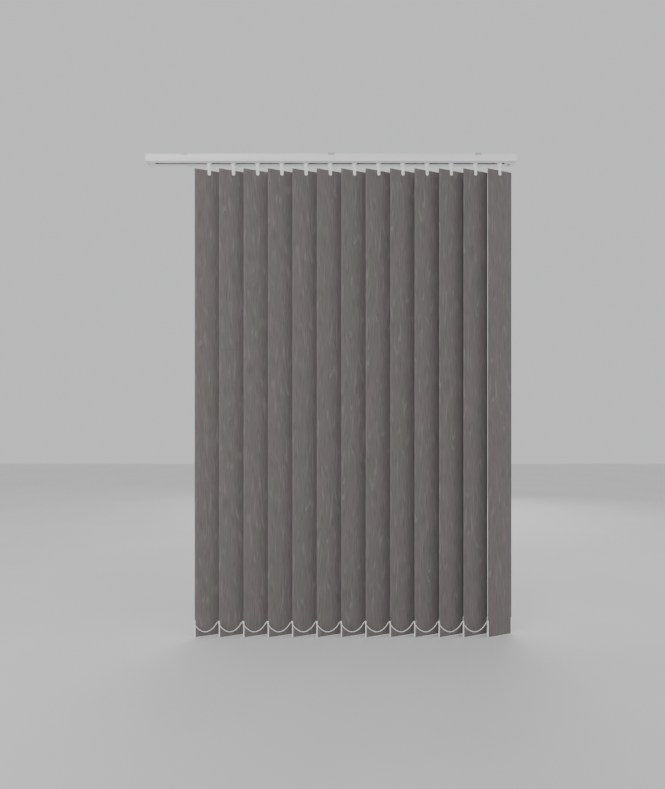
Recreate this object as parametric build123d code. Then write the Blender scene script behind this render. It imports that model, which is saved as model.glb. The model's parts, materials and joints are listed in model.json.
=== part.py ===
"""Vertical blind: a ceiling-fixed headrail, thirteen geared carriers and the cloth vanes that hang from them.

Axes: X runs along the rail, Y goes from the room towards the window and Z is up. The origin is on the
ceiling plane, at the middle hole of the three brackets. All sizes are in millimetres.
"""

from build123d import *
from math import cos, degrees, pi, radians, sin, tan
import os

# ---------------------------------------------------------------- driving sizes

# Row of vanes
VANE_COUNT = 13
VANE_PITCH = 75.0
LAST_VANE_X = 522.0
REST_TILT = 22.0  # angle from the rail to a vane, in degrees

# Vane cloth and its pockets
VANE_WIDTH = 89.0
VANE_LENGTH = 1440.0
CLOTH = 0.3
TOP_POCKET = 18.0
BOTTOM_POCKET = 58.0
HANGER_THICKNESS = 0.8
HANGER_HEIGHT = 14.0
HANGER_INSET = 2.5
POCKET_CLEARANCE = 0.05

# Bottom weight, its end rims and chain clips
WEIGHT_THICKNESS = 1.0
WEIGHT_HEIGHT = 46.0
RIM_WIDTH = 3.2
RIM_DEPTH = 2.0
RIM_HEIGHT = 49.0
RIM_OVERHANG = 0.8  # how far a rim stands out past the cloth's edge
CLIP_REACH = 3.0
CLIP_DEPTH = 2.4
CLIP_HEIGHT = 3.0
CLIP_DROP = 1.0  # the clip starts this far above the rim's top end
CLOTH_TO_RIM = 0.3
RIM_CHAMFER = 0.4
CLIP_CHAMFER = 0.5

# Headrail extrusion
RAIL_LENGTH = 1136.0
RAIL_DEPTH = 41.0
RAIL_HEIGHT = 22.0
RAIL_WALL = 1.3
RAIL_SLOT = 12.0
EAR_REACH = 1.0
EAR_THICKNESS = 1.5
NOTCH_LENGTH = 22.0  # floor cut away at the control end

# Ceiling brackets
BRACKET_SPACING = 450.0
BRACKET_COUNT = 3
BRACKET_LENGTH = 19.0
BRACKET_PLATE = 2.4
BRACKET_LEG = 1.2
BRACKET_GAP = 0.3
BRACKET_LIP = 0.6  # how far a lip reaches under an ear
SCREW_HOLE_R = 2.5
SCREW_HEAD_R = 4.0

# Tilt rod and the worm drive
ROD_R = 2.5
ROD_DEPTH_IN_RAIL = 10.8
ROD_FROM_IDLER_END = 7.3
ROD_FROM_CONTROL_END = 5.3
FLUTE_COUNT = 4
FLUTE_WIDTH = 1.2
FLUTE_DEPTH = 0.7
FLUTE_CLEARANCE = 0.15
TOOTH_COUNT = 12
GEAR_MODULE = 0.9
TOOTH_SHARE = 0.40  # tooth thickness over circular pitch, the rest being backlash
ADDENDUM = 0.75
DEDENDUM = 0.95
FLANK_ANGLE = 20.0
PINION_FACE = 2.4
WORM_PITCH_R = 4.6
WORM_LENGTH = 11.6
THREAD_LENGTH = 7.6  # the middle of the worm; the rest is plain hub

# Carriers
CARRIER_LENGTH = 15.8
CARRIER_CLEARANCE = 0.3
NECK_LENGTH = 13.0
NECK_DROP = 1.3  # how far the neck stands below the rail
STEM_R = 4.0
BORE_CLEARANCE = 0.25
GEAR_CLEARANCE = 0.3
CARRIER_CHAMFER = 0.65

# Spacer strips that pull the carriers out one after another
STRIP_WIDTH = 6.6
STRIP_THICKNESS = 0.4
STRIP_PITCH = 0.8
STRIP_LEVELS = 6
STRIP_Y = -13.5
STRIP_TOP_IN_RAIL = 3.9
STRIP_PAST_CARRIER = 1.1
STRIP_HEAD_WIDTH = 8.8
STRIP_HEAD_LENGTH = 0.9
CHANNEL_CLEARANCE = 0.4
STRIP_HEAD_GAP = 0.1  # between the strip's head and its carrier

# Hooks
COLLAR_R = 6.5
COLLAR_HEIGHT = 7.0
COLLAR_GAP = 0.3
COLLAR_CHAMFER = 1.0
STUD_R = 2.0  # on top of the pinion
STUD_HEIGHT = 2.4
HOOK_WIDTH = 10.0
LEG_THICKNESS = 1.0
LEG_REACH = 16.0
LEG_CLEARANCE = 0.1
BARB_R = 1.8
BARB_HOLE_R = 2.4
BARB_DROP = 9.0
VANE_DROP = 21.0  # from the underside of the rail to the top of a vane

# End caps and the chain wheel
CAP_FLANGE = 3.0
CONTROL_PLUG = 30.0
IDLER_PLUG = 22.0
WHEEL_R = 7.5
WHEEL_WIDTH = 6.0
WHEEL_FROM_END = 16.0
WHEEL_POCKETS = 9
WHEEL_POCKET_R = 2.2
WHEEL_CLEARANCE = 0.6
ROD_BEARING_CLEARANCE = 0.1
CAP_WALL = 1.3
CORD_POST_R = 2.5
CORD_POST_ROOM = 2.5
CORD_ROOM = 4.6  # width of the way that the traverse cord takes out through the control cap

# Bead chain, and the route of one span from clip to clip: x from the axis of the span's first vane, and z
# from the underside of a clip
CHAIN_DIAMETER = 3.2
CHAIN_Y = -20.6
CHAIN_ROUTE = [
    (-43.6, -0.3),
    (-39.0, -8.8),
    (-31.5, -18.1),
    (-21.0, -25.6),
    (-13.5, -28.9),
    (-1.9, -28.9),
    (5.6, -25.6),
    (16.1, -18.1),
    (23.6, -8.8),
    (28.2, -0.3),
]

# ---------------------------------------------------------------- sizes that follow

RAIL_TOP = -BRACKET_PLATE
RAIL_BOTTOM = RAIL_TOP - RAIL_HEIGHT
RAIL_FLOOR = RAIL_BOTTOM + RAIL_WALL
RAIL_ROOF = RAIL_TOP - RAIL_WALL
RAIL_INSIDE = RAIL_DEPTH / 2 - RAIL_WALL
RAIL_END_X = RAIL_LENGTH / 2

ROD_Z = RAIL_TOP - ROD_DEPTH_IN_RAIL
ROD_BORE_R = ROD_R + FLUTE_CLEARANCE
PINION_R = TOOTH_COUNT * GEAR_MODULE / 2
ROD_Y = PINION_R + WORM_PITCH_R  # the worm's axis stands this far from a hook's
THREAD_PITCH = pi * GEAR_MODULE
PINION_TIP_R = PINION_R + ADDENDUM
WORM_TIP_R = WORM_PITCH_R + ADDENDUM

CARRIER_TOP = RAIL_ROOF - CARRIER_CLEARANCE
CARRIER_BOTTOM = RAIL_FLOOR + CARRIER_CLEARANCE
CARRIER_DEPTH = 2 * (RAIL_INSIDE - CARRIER_CLEARANCE)
NECK_BOTTOM = RAIL_BOTTOM - NECK_DROP
PINION_BOTTOM = ROD_Z - PINION_FACE / 2

VANE_TOP = RAIL_BOTTOM - VANE_DROP
VANE_BOTTOM = VANE_TOP - VANE_LENGTH
HANGER_GAP = HANGER_THICKNESS + 2 * POCKET_CLEARANCE
WEIGHT_GAP = WEIGHT_THICKNESS + 2 * POCKET_CLEARANCE
SLOT_HALF = HANGER_GAP / 2 + CLOTH + LEG_CLEARANCE
HOOK_DEPTH = 2 * (SLOT_HALF + LEG_THICKNESS)

RIM_OUTSIDE = VANE_WIDTH / 2 + RIM_OVERHANG
RIM_INSIDE = RIM_OUTSIDE - RIM_WIDTH
CLIP_TOP = VANE_BOTTOM + RIM_HEIGHT + CLIP_DROP
CLIP_BOTTOM = CLIP_TOP - CLIP_HEIGHT


def vane_x(number):
    """X of the axis of vane `number`, counted from 1 at the left."""
    return LAST_VANE_X - VANE_PITCH * (VANE_COUNT - number)


def block(x, y, z):
    """A box between two corners, given as (low, high) pairs along each axis."""
    size = [high - low for low, high in (x, y, z)]
    return Pos(x[0], y[0], z[0]) * Box(*size, align=Align.MIN)


def post(radius, z, x=0.0, y=0.0):
    """An upright cylinder between two heights."""
    low, high = z
    return Pos(x, y, low) * Cylinder(radius, high - low, align=(Align.CENTER, Align.CENTER, Align.MIN))


def bar(radius, x, y=ROD_Y, z=ROD_Z):
    """A cylinder along X between two places, on the tilt rod's axis unless told otherwise."""
    low, high = x
    return Pos((low + high) / 2, y, z) * Rot(0, 90, 0) * Cylinder(radius, high - low)


def polar(radius, angle):
    """The point at a radius and an angle in degrees."""
    return (radius * cos(radians(angle)), radius * sin(radians(angle)))


# ---------------------------------------------------------------- headrail and brackets


def make_headrail():
    """One extrusion: a box section with ears along its top edges and a slot along its floor."""
    half = RAIL_DEPTH / 2
    right_side = [
        (RAIL_SLOT / 2, RAIL_FLOOR),
        (RAIL_SLOT / 2, RAIL_BOTTOM),
        (half, RAIL_BOTTOM),
        (half, RAIL_TOP - EAR_THICKNESS),
        (half + EAR_REACH, RAIL_TOP - EAR_THICKNESS),
        (half + EAR_REACH, RAIL_TOP),
    ]
    inside = [(RAIL_INSIDE, RAIL_ROOF), (RAIL_INSIDE, RAIL_FLOOR)]
    outline = inside + right_side
    outline += [(-y, z) for y, z in reversed(outline)]
    section = Plane.YZ.offset(-RAIL_END_X) * make_face(Polyline(*outline, close=True))
    rail = extrude(section, RAIL_LENGTH)
    notch = block(
        (RAIL_END_X - NOTCH_LENGTH, RAIL_END_X),
        (-RAIL_INSIDE, RAIL_INSIDE),
        (RAIL_BOTTOM, RAIL_FLOOR),
    )
    return rail - notch


def make_bracket():
    """A clip bracket: a plate against the ceiling and two legs that hook under the rail's ears."""
    inner = RAIL_DEPTH / 2 + EAR_REACH + BRACKET_GAP
    outer = inner + BRACKET_LEG
    lip_top = RAIL_TOP - EAR_THICKNESS - BRACKET_GAP
    lip_bottom = lip_top - BRACKET_LEG
    lip_tip = RAIL_DEPTH / 2 + EAR_REACH - BRACKET_LIP
    right_side = [
        (outer, 0),
        (outer, lip_bottom),
        (lip_tip, lip_bottom),
        (lip_tip, lip_top),
        (inner, lip_top),
        (inner, -BRACKET_PLATE),
    ]
    outline = right_side + [(-y, z) for y, z in reversed(right_side)]
    section = Plane.YZ.offset(-BRACKET_LENGTH / 2) * make_face(Polyline(*outline, close=True))
    bracket = extrude(section, BRACKET_LENGTH)
    sink = SCREW_HEAD_R - SCREW_HOLE_R
    hole = post(SCREW_HOLE_R, (-BRACKET_PLATE, 0))
    countersink = Pos(0, 0, -BRACKET_PLATE + sink / 2) * Cone(SCREW_HEAD_R, SCREW_HOLE_R, sink)
    return bracket - hole - countersink


def make_brackets():
    """The brackets in their places along the rail."""
    bracket = make_bracket()
    first = -BRACKET_SPACING * (BRACKET_COUNT - 1) / 2
    return [Pos(first + BRACKET_SPACING * i, 0, 0) * bracket for i in range(BRACKET_COUNT)]


# ---------------------------------------------------------------- tilt rod, worms and chain wheel


def rod_section(radius, flute_width, flute_depth):
    """A round section with flutes cut along its sides, for the rod itself or for a bore on it."""
    section = Circle(radius)
    for i in range(FLUTE_COUNT):
        flute = Pos(radius, 0) * Rectangle(2 * flute_depth, flute_width)
        section -= Rot(0, 0, 360 / FLUTE_COUNT * i) * flute
    return section


def along_rail(section, low, high):
    """Extrude a section that is centred on the rod's axis from one X to another."""
    plane = Plane(origin=(low, ROD_Y, ROD_Z), x_dir=(0, 1, 0), z_dir=(1, 0, 0))
    return extrude(plane * section, high - low)


def make_rod_bore(low, high):
    """What a bore on the rod takes away: the rod's own shape with a clearance all round."""
    keys = rod_section(ROD_BORE_R, FLUTE_WIDTH - 2 * FLUTE_CLEARANCE, FLUTE_DEPTH)
    return along_rail(keys, low, high)


def make_tilt_rod():
    """The fluted rod, from the idler cap's bearing to the far side of the chain wheel."""
    low = -RAIL_END_X + ROD_FROM_IDLER_END
    high = RAIL_END_X - ROD_FROM_CONTROL_END
    return along_rail(rod_section(ROD_R, FLUTE_WIDTH, FLUTE_DEPTH), low, high)


def make_worm():
    """A single-start right-hand worm, wound from its section square to the axis."""
    turn_per_mm = 360 / THREAD_PITCH
    half_tooth = TOOTH_SHARE * THREAD_PITCH / 2
    slope = tan(radians(FLANK_ANGLE))
    tip_angle = (half_tooth - ADDENDUM * slope) * turn_per_mm
    root_angle = (half_tooth + DEDENDUM * slope) * turn_per_mm
    root_r = WORM_PITCH_R - DEDENDUM
    middle_r, middle_angle = (root_r + WORM_TIP_R) / 2, (root_angle + tip_angle) / 2
    tip = CenterArc((0, 0), WORM_TIP_R, -tip_angle, 2 * tip_angle)
    fall = ThreePointArc(
        polar(WORM_TIP_R, tip_angle), polar(middle_r, middle_angle), polar(root_r, root_angle)
    )
    root = CenterArc((0, 0), root_r, root_angle, 360 - 2 * root_angle)
    rise = ThreePointArc(
        polar(root_r, -root_angle), polar(middle_r, -middle_angle), polar(WORM_TIP_R, -tip_angle)
    )
    turn = THREAD_LENGTH * turn_per_mm
    section = Rot(0, 0, -turn / 2) * Face(Wire([tip, fall, root, rise]))
    wound = Solid.extrude_linear_with_rotation(section, (0, 0, 0), (0, 0, THREAD_LENGTH), turn)
    place = Plane(origin=(-THREAD_LENGTH / 2, ROD_Y, ROD_Z), x_dir=(0, 1, 0), z_dir=(1, 0, 0))
    worm = place.location * wound
    worm += bar(root_r, (-WORM_LENGTH / 2, -THREAD_LENGTH / 2))
    worm += bar(root_r, (THREAD_LENGTH / 2, WORM_LENGTH / 2))
    return worm - make_rod_bore(-WORM_LENGTH, WORM_LENGTH)


def make_chain_wheel():
    """The wheel that the control chain turns, with a pocket for each bead that lies on it."""
    centre = RAIL_END_X - WHEEL_FROM_END
    wheel = bar(WHEEL_R, (centre - WHEEL_WIDTH / 2, centre + WHEEL_WIDTH / 2))
    for i in range(WHEEL_POCKETS):
        y, z = polar(WHEEL_R, 360 / WHEEL_POCKETS * i)
        wheel -= Pos(centre, ROD_Y + y, ROD_Z + z) * Sphere(WHEEL_POCKET_R)
    return wheel - make_rod_bore(centre - WHEEL_WIDTH, centre + WHEEL_WIDTH)


# ---------------------------------------------------------------- end caps


def make_cap_blank(end, plug_length):
    """A flange over the rail's end and a plug inside it; `end` is 1 at the right and -1 at the left."""
    face, flange_end = end * RAIL_END_X, end * (RAIL_END_X + CAP_FLANGE)
    ear = RAIL_DEPTH / 2 + EAR_REACH
    flange = block(sorted((face, flange_end)), (-ear, ear), (RAIL_BOTTOM, RAIL_TOP))
    corners = flange.edges().filter_by(Axis.X)
    flange = fillet(corners, EAR_THICKNESS)
    half = CARRIER_DEPTH / 2
    plug_end = end * (RAIL_END_X - plug_length)
    plug = block(sorted((face, plug_end)), (-half, half), (CARRIER_BOTTOM, CARRIER_TOP))
    return flange + plug


def make_control_end_cap():
    """The right-hand cap: it fills the rail's notch and houses the chain wheel and the cord's outlets."""
    half = CARRIER_DEPTH / 2
    foot_start = RAIL_END_X - NOTCH_LENGTH + CARRIER_CLEARANCE
    foot = block((foot_start, RAIL_END_X), (-half, half), (RAIL_BOTTOM, CARRIER_BOTTOM))
    cap = make_cap_blank(1, CONTROL_PLUG) + foot
    centre = RAIL_END_X - WHEEL_FROM_END
    reach = WHEEL_R + WHEEL_CLEARANCE
    side = WHEEL_WIDTH / 2 + WHEEL_CLEARANCE
    cap -= bar(reach, (centre - side, centre + side))
    cap -= block((centre - side, centre + side), (ROD_Y - reach, ROD_Y + reach), (RAIL_BOTTOM, ROD_Z))
    cap -= bar(ROD_R + ROD_BEARING_CLEARANCE, (RAIL_END_X - CONTROL_PLUG, RAIL_END_X - CAP_FLANGE))
    cord_room = (STRIP_Y - CORD_ROOM / 2, STRIP_Y + CORD_ROOM / 2)
    cord_height = (ROD_Z - CORD_ROOM / 2, ROD_Z + CORD_ROOM / 2)
    cap -= block((RAIL_END_X - CONTROL_PLUG, centre + side), cord_room, cord_height)
    cap -= block((centre - side, centre + side), cord_room, (RAIL_BOTTOM, ROD_Z))
    return cap


def make_idler_end_cap():
    """The left-hand cap: it holds the rod's other bearing and the post that the cord returns round."""
    cap = make_cap_blank(-1, IDLER_PLUG)
    inner_end = -RAIL_END_X + IDLER_PLUG
    cap -= bar(ROD_R + ROD_BEARING_CLEARANCE, (-RAIL_END_X + CAP_FLANGE, inner_end))
    room = CORD_POST_R + CORD_POST_ROOM
    pocket = (STRIP_Y - room, STRIP_Y + room)
    height = (CARRIER_BOTTOM + CAP_WALL, CARRIER_TOP - CAP_WALL)
    cap -= block((-RAIL_END_X + CAP_FLANGE, inner_end), pocket, height)
    return cap + post(CORD_POST_R, height, -RAIL_END_X + IDLER_PLUG / 2, STRIP_Y)


# ---------------------------------------------------------------- carriers and spacers


def make_carrier():
    """A moulded body that slides in the rail, open at the top over its worm and its hook's pinion."""
    half_length, half = CARRIER_LENGTH / 2, CARRIER_DEPTH / 2
    body = block((-half_length, half_length), (-half, half), (CARRIER_BOTTOM, CARRIER_TOP))
    body = chamfer(body.edges().filter_by(Axis.X), CARRIER_CHAMFER)
    neck_half = RAIL_SLOT / 2 - CARRIER_CLEARANCE - BORE_CLEARANCE / 2
    body += block(
        (-NECK_LENGTH / 2, NECK_LENGTH / 2), (-neck_half, neck_half), (NECK_BOTTOM, CARRIER_BOTTOM)
    )
    gear_floor = PINION_BOTTOM - GEAR_CLEARANCE
    body -= post(PINION_TIP_R + GEAR_CLEARANCE, (gear_floor, CARRIER_TOP))
    body -= post(STEM_R + BORE_CLEARANCE, (NECK_BOTTOM, gear_floor))
    worm_half, worm_room = WORM_LENGTH / 2 + GEAR_CLEARANCE, WORM_TIP_R + GEAR_CLEARANCE
    body -= block(
        (-worm_half, worm_half), (ROD_Y - worm_room, ROD_Y + worm_room), (ROD_Z - worm_room, CARRIER_TOP)
    )
    body -= bar(ROD_R + BORE_CLEARANCE, (-half_length, half_length))
    channel_half = (STRIP_WIDTH + CHANNEL_CLEARANCE) / 2
    channel_top = RAIL_TOP - STRIP_TOP_IN_RAIL + CHANNEL_CLEARANCE / 2
    channel_height = STRIP_PITCH * (STRIP_LEVELS - 1) + STRIP_THICKNESS + CHANNEL_CLEARANCE
    body -= block(
        (-half_length, half_length),
        (STRIP_Y - channel_half, STRIP_Y + channel_half),
        (channel_top - channel_height, channel_top),
    )
    return body


def make_spacer(number):
    """The thin strip that carrier `number` draws the next carrier along by, with a head at its own end."""
    top = RAIL_TOP - STRIP_TOP_IN_RAIL - STRIP_PITCH * (number % STRIP_LEVELS)
    height = (top - STRIP_THICKNESS, top)
    head_start = CARRIER_LENGTH / 2 + STRIP_HEAD_GAP
    reach = VANE_PITCH + CARRIER_LENGTH / 2 + STRIP_PAST_CARRIER
    half, head_half = STRIP_WIDTH / 2, STRIP_HEAD_WIDTH / 2
    strip = block((-reach, head_start), (STRIP_Y - half, STRIP_Y + half), height)
    head_length = (head_start, head_start + STRIP_HEAD_LENGTH)
    return strip + block(head_length, (STRIP_Y - head_half, STRIP_Y + head_half), height)


# ---------------------------------------------------------------- vanes and what is on them
# A vane and its fittings are made with the cloth in the XZ plane and the hook's axis on Z, and then turned.


def turned(number, shape):
    """Put a shape made about the hook's axis in the place and at the angle of vane `number`."""
    return Pos(vane_x(number), 0, 0) * Rot(0, 0, REST_TILT) * shape


def make_pocket(half_width, gap, bottom, top):
    """A flattened tube of cloth round a gap, open at both ends."""
    outside = gap / 2 + CLOTH
    tube = block((-half_width, half_width), (-outside, outside), (bottom, top))
    inside = block((-half_width, half_width), (-gap / 2, gap / 2), (bottom + CLOTH, top - CLOTH))
    return tube - inside


def make_vane():
    """One strip of cloth with a pocket at each end: both pockets meet the strip at their welds."""
    half = VANE_WIDTH / 2
    top_seam, bottom_seam = VANE_TOP - TOP_POCKET, VANE_BOTTOM + BOTTOM_POCKET
    top_pocket = make_pocket(half, HANGER_GAP, top_seam, VANE_TOP)
    strip = block((-half, half), (-CLOTH / 2, CLOTH / 2), (bottom_seam, top_seam))
    bottom_pocket = make_pocket(half, WEIGHT_GAP, VANE_BOTTOM, bottom_seam)
    barb_hole = Cylinder(BARB_HOLE_R, 2 * HANGER_GAP)
    taken = [Pos(0, 0, VANE_TOP - BARB_DROP) * Rot(90, 0, 0) * barb_hole]
    for side in (-1, 1):
        across = sorted((side * (RIM_INSIDE - CLOTH_TO_RIM), side * half))
        taken.append(block(across, (-WEIGHT_GAP, WEIGHT_GAP), (VANE_BOTTOM, CLIP_TOP + CLOTH_TO_RIM)))
    return [piece - taken for piece in (top_pocket, strip, bottom_pocket)]


def make_pinion():
    """A spur pinion with one tooth towards the worm when the vane is at rest."""
    circular_pitch = pi * GEAR_MODULE
    slope = tan(radians(FLANK_ANGLE))
    half_tooth = TOOTH_SHARE * circular_pitch / 2
    root_r = PINION_R - DEDENDUM
    tip_angle = degrees((half_tooth - ADDENDUM * slope) / PINION_TIP_R)
    root_angle = degrees((half_tooth + DEDENDUM * slope / 2) / root_r)
    outline = []
    for i in range(TOOTH_COUNT):
        middle = 90 - REST_TILT + 360 / TOOTH_COUNT * i
        outline += [
            polar(root_r, middle - root_angle),
            polar(PINION_TIP_R, middle - tip_angle),
            polar(PINION_TIP_R, middle + tip_angle),
            polar(root_r, middle + root_angle),
        ]
    return Pos(0, 0, PINION_BOTTOM) * extrude(make_face(Polyline(*outline, close=True)), PINION_FACE)


def make_leg(side, bottom, top):
    """One flat leg of the hook with a round end, on the side of the cloth that `side` gives."""
    round_r = HOOK_WIDTH / 2
    centre = bottom + round_r
    outline = Pos(0, (centre + top) / 2) * Rectangle(HOOK_WIDTH, top - centre)
    outline += Pos(0, centre) * Circle(round_r)
    place = Plane(origin=(0, side * (SLOT_HALF + LEG_THICKNESS / 2), 0), x_dir=(1, 0, 0), z_dir=(0, -1, 0))
    return extrude(place * outline, LEG_THICKNESS / 2, both=True)


def make_hook():
    """Pinion, stem, collar and two legs in one moulding; the back leg carries a barb."""
    collar_top = NECK_BOTTOM - COLLAR_GAP
    collar_bottom = collar_top - COLLAR_HEIGHT
    leg_bottom = VANE_TOP - LEG_REACH
    slot_top = VANE_TOP + COLLAR_GAP
    hook = make_pinion() + post(STEM_R, (collar_top, PINION_BOTTOM))
    stud_bottom = PINION_BOTTOM + PINION_FACE
    hook += post(STUD_R, (stud_bottom, stud_bottom + STUD_HEIGHT))
    collar = post(COLLAR_R, (collar_bottom, collar_top))
    hook += chamfer(collar.edges().filter_by(GeomType.CIRCLE), COLLAR_CHAMFER)
    half = HOOK_WIDTH / 2
    hook += block((-half, half), (-HOOK_DEPTH / 2, HOOK_DEPTH / 2), (slot_top, collar_bottom))
    for side in (-1, 1):
        hook += make_leg(side, leg_bottom, slot_top)
    barb = Pos(0, SLOT_HALF / 2, VANE_TOP - BARB_DROP) * Rot(90, 0, 0) * Cylinder(BARB_R, SLOT_HALF)
    return hook + barb


def make_hanger():
    """The stiff plate in the top pocket, with a hole that the barb catches in."""
    half = VANE_WIDTH / 2 - HANGER_INSET
    top = VANE_TOP - CLOTH - POCKET_CLEARANCE
    plate = block(
        (-half, half), (-HANGER_THICKNESS / 2, HANGER_THICKNESS / 2), (top - HANGER_HEIGHT, top)
    )
    hole = Pos(0, 0, VANE_TOP - BARB_DROP) * Rot(90, 0, 0) * Cylinder(BARB_HOLE_R, HANGER_THICKNESS)
    return plate - hole


def make_weight():
    """The plate in the bottom pocket, with a rim and a chain clip at each end."""
    plate_bottom = VANE_BOTTOM + CLOTH + POCKET_CLEARANCE
    weight = block(
        (-RIM_INSIDE, RIM_INSIDE),
        (-WEIGHT_THICKNESS / 2, WEIGHT_THICKNESS / 2),
        (plate_bottom, plate_bottom + WEIGHT_HEIGHT),
    )
    for side in (-1, 1):
        across = sorted((side * RIM_INSIDE, side * RIM_OUTSIDE))
        rim = block(across, (-RIM_DEPTH / 2, RIM_DEPTH / 2), (VANE_BOTTOM, VANE_BOTTOM + RIM_HEIGHT))
        weight += chamfer(rim.edges().filter_by(Axis.Z), RIM_CHAMFER)
        reach = sorted((side * (RIM_OUTSIDE - RIM_WIDTH / 2), side * (RIM_OUTSIDE + CLIP_REACH)))
        clip = block(reach, (-CLIP_DEPTH / 2, CLIP_DEPTH / 2), (CLIP_BOTTOM, CLIP_TOP))
        weight += chamfer(clip.edges().filter_by(Axis.X), CLIP_CHAMFER)
    return weight


# ---------------------------------------------------------------- bead chains


def corner_radii(points):
    """The radius of the arc at each inner point: 0.45 of the shorter run over the tangent of half the turn."""
    radii = []
    for before, here, after in zip(points, points[1:], points[2:]):
        run_in, run_out = here - before, after - here
        shorter = min(run_in.length, run_out.length)
        radii.append(0.45 * shorter / tan(radians(run_in.get_angle(run_out)) / 2))
    return radii


def make_chain_span():
    """The plain tube that stands for one span of bead chain, about its first vane's axis."""
    points = [Vector(x, CHAIN_Y, CLIP_BOTTOM + z) for x, z in CHAIN_ROUTE]
    radii = corner_radii(points)
    print("chain radii:", [round(radius, 1) for radius in radii])
    path = FilletPolyline(*points, radius=radii)
    section = Plane(origin=path @ 0, z_dir=path % 0) * Circle(CHAIN_DIAMETER / 2)
    span = sweep(section, path)
    expected = pi * (CHAIN_DIAMETER / 2) ** 2 * path.length
    print(f"chain span: {path.length:.1f} mm long, volume {span.volume:.1f} of {expected:.1f} mm3")
    return span


def make_front_chain():
    """The spans from clip to clip along the room side of the row."""
    span = make_chain_span()
    return [Pos(vane_x(number), 0, 0) * span for number in range(1, VANE_COUNT)]


def make_back_chain(front_spans):
    """The same spans half a turn round the middle of the row, along its window side."""
    middle = (vane_x(1) + vane_x(VANE_COUNT)) / 2
    half_turn = Pos(middle, 0, 0) * Rot(0, 0, 180) * Pos(-middle, 0, 0)
    return [half_turn * span for span in front_spans]


# ---------------------------------------------------------------- the nodes


def make_nodes():
    """Every sub-part's name and its shape."""
    carrier, worm = make_carrier(), make_worm()
    vane, fittings = make_vane(), [make_hook(), make_hanger(), make_weight()]
    front_spans = make_front_chain()
    nodes = {
        "headrail": [make_headrail()],
        "control_end_cap": [make_control_end_cap()],
        "idler_end_cap": [make_idler_end_cap()],
        "top_fix_brackets": make_brackets(),
        "tilt_rod": [make_tilt_rod()],
        "chain_wheel": [make_chain_wheel()],
        "front_chain": front_spans,
        "back_chain": make_back_chain(front_spans),
    }
    for number in range(1, VANE_COUNT + 1):
        place = Pos(vane_x(number), 0, 0)
        spacers = [make_spacer(number)] if number > 1 else []
        nodes[f"carrier_{number:02d}"] = [place * piece for piece in [carrier] + spacers]
        nodes[f"worm_{number:02d}"] = [place * worm]
        nodes[f"vane_{number:02d}"] = [turned(number, piece) for piece in vane]
        nodes[f"vane_fittings_{number:02d}"] = [turned(number, piece) for piece in fittings]
    return nodes


os.makedirs("parts", exist_ok=True)
for name, pieces in make_nodes().items():
    solids = [solid for piece in pieces for solid in piece.solids()]
    export_step(solids[0] if len(solids) == 1 else Compound(children=solids), f"parts/{name}.step")
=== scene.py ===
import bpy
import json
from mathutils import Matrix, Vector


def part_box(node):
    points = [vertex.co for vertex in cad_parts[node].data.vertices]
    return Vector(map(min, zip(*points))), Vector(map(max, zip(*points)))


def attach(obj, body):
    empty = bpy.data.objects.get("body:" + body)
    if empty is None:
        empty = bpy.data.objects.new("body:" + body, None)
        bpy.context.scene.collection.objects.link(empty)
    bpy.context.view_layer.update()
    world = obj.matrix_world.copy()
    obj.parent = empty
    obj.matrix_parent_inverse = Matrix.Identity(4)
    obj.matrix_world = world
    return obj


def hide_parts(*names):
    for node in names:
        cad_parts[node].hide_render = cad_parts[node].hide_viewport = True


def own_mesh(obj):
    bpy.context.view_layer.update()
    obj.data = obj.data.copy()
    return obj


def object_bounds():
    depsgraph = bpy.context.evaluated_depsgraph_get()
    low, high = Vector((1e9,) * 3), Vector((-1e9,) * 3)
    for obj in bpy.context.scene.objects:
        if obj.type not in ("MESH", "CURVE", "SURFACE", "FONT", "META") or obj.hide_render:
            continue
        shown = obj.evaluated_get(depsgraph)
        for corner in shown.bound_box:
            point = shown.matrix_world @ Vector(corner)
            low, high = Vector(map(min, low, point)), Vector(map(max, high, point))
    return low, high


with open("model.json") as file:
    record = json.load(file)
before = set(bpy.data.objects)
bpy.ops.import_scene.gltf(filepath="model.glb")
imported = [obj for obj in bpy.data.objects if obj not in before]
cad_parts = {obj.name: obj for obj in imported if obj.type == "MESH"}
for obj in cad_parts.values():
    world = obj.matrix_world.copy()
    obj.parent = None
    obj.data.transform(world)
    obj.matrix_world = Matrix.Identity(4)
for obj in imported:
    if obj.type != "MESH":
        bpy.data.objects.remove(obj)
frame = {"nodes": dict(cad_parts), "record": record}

"""The looks of a vertical blind: coated rail, moulded fittings, hanging cloth vanes and bead chain.

Every length is in metres. X runs along the rail, Y goes from the room towards the window, Z is up.
"""

import json
import logging
import math
import random
from collections.abc import Callable, Sequence
from dataclasses import dataclass, field
from enum import Enum
from typing import Any

import bmesh
import bpy
from mathutils import Matrix, Vector

logging.basicConfig(level=logging.INFO, format="%(message)s")
log = logging.getLogger("vertical_blind")

CAD_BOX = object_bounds()
MM = 0.001
Colour = tuple[float, float, float]


# ---------------------------------------------------------------- shader helpers


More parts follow.
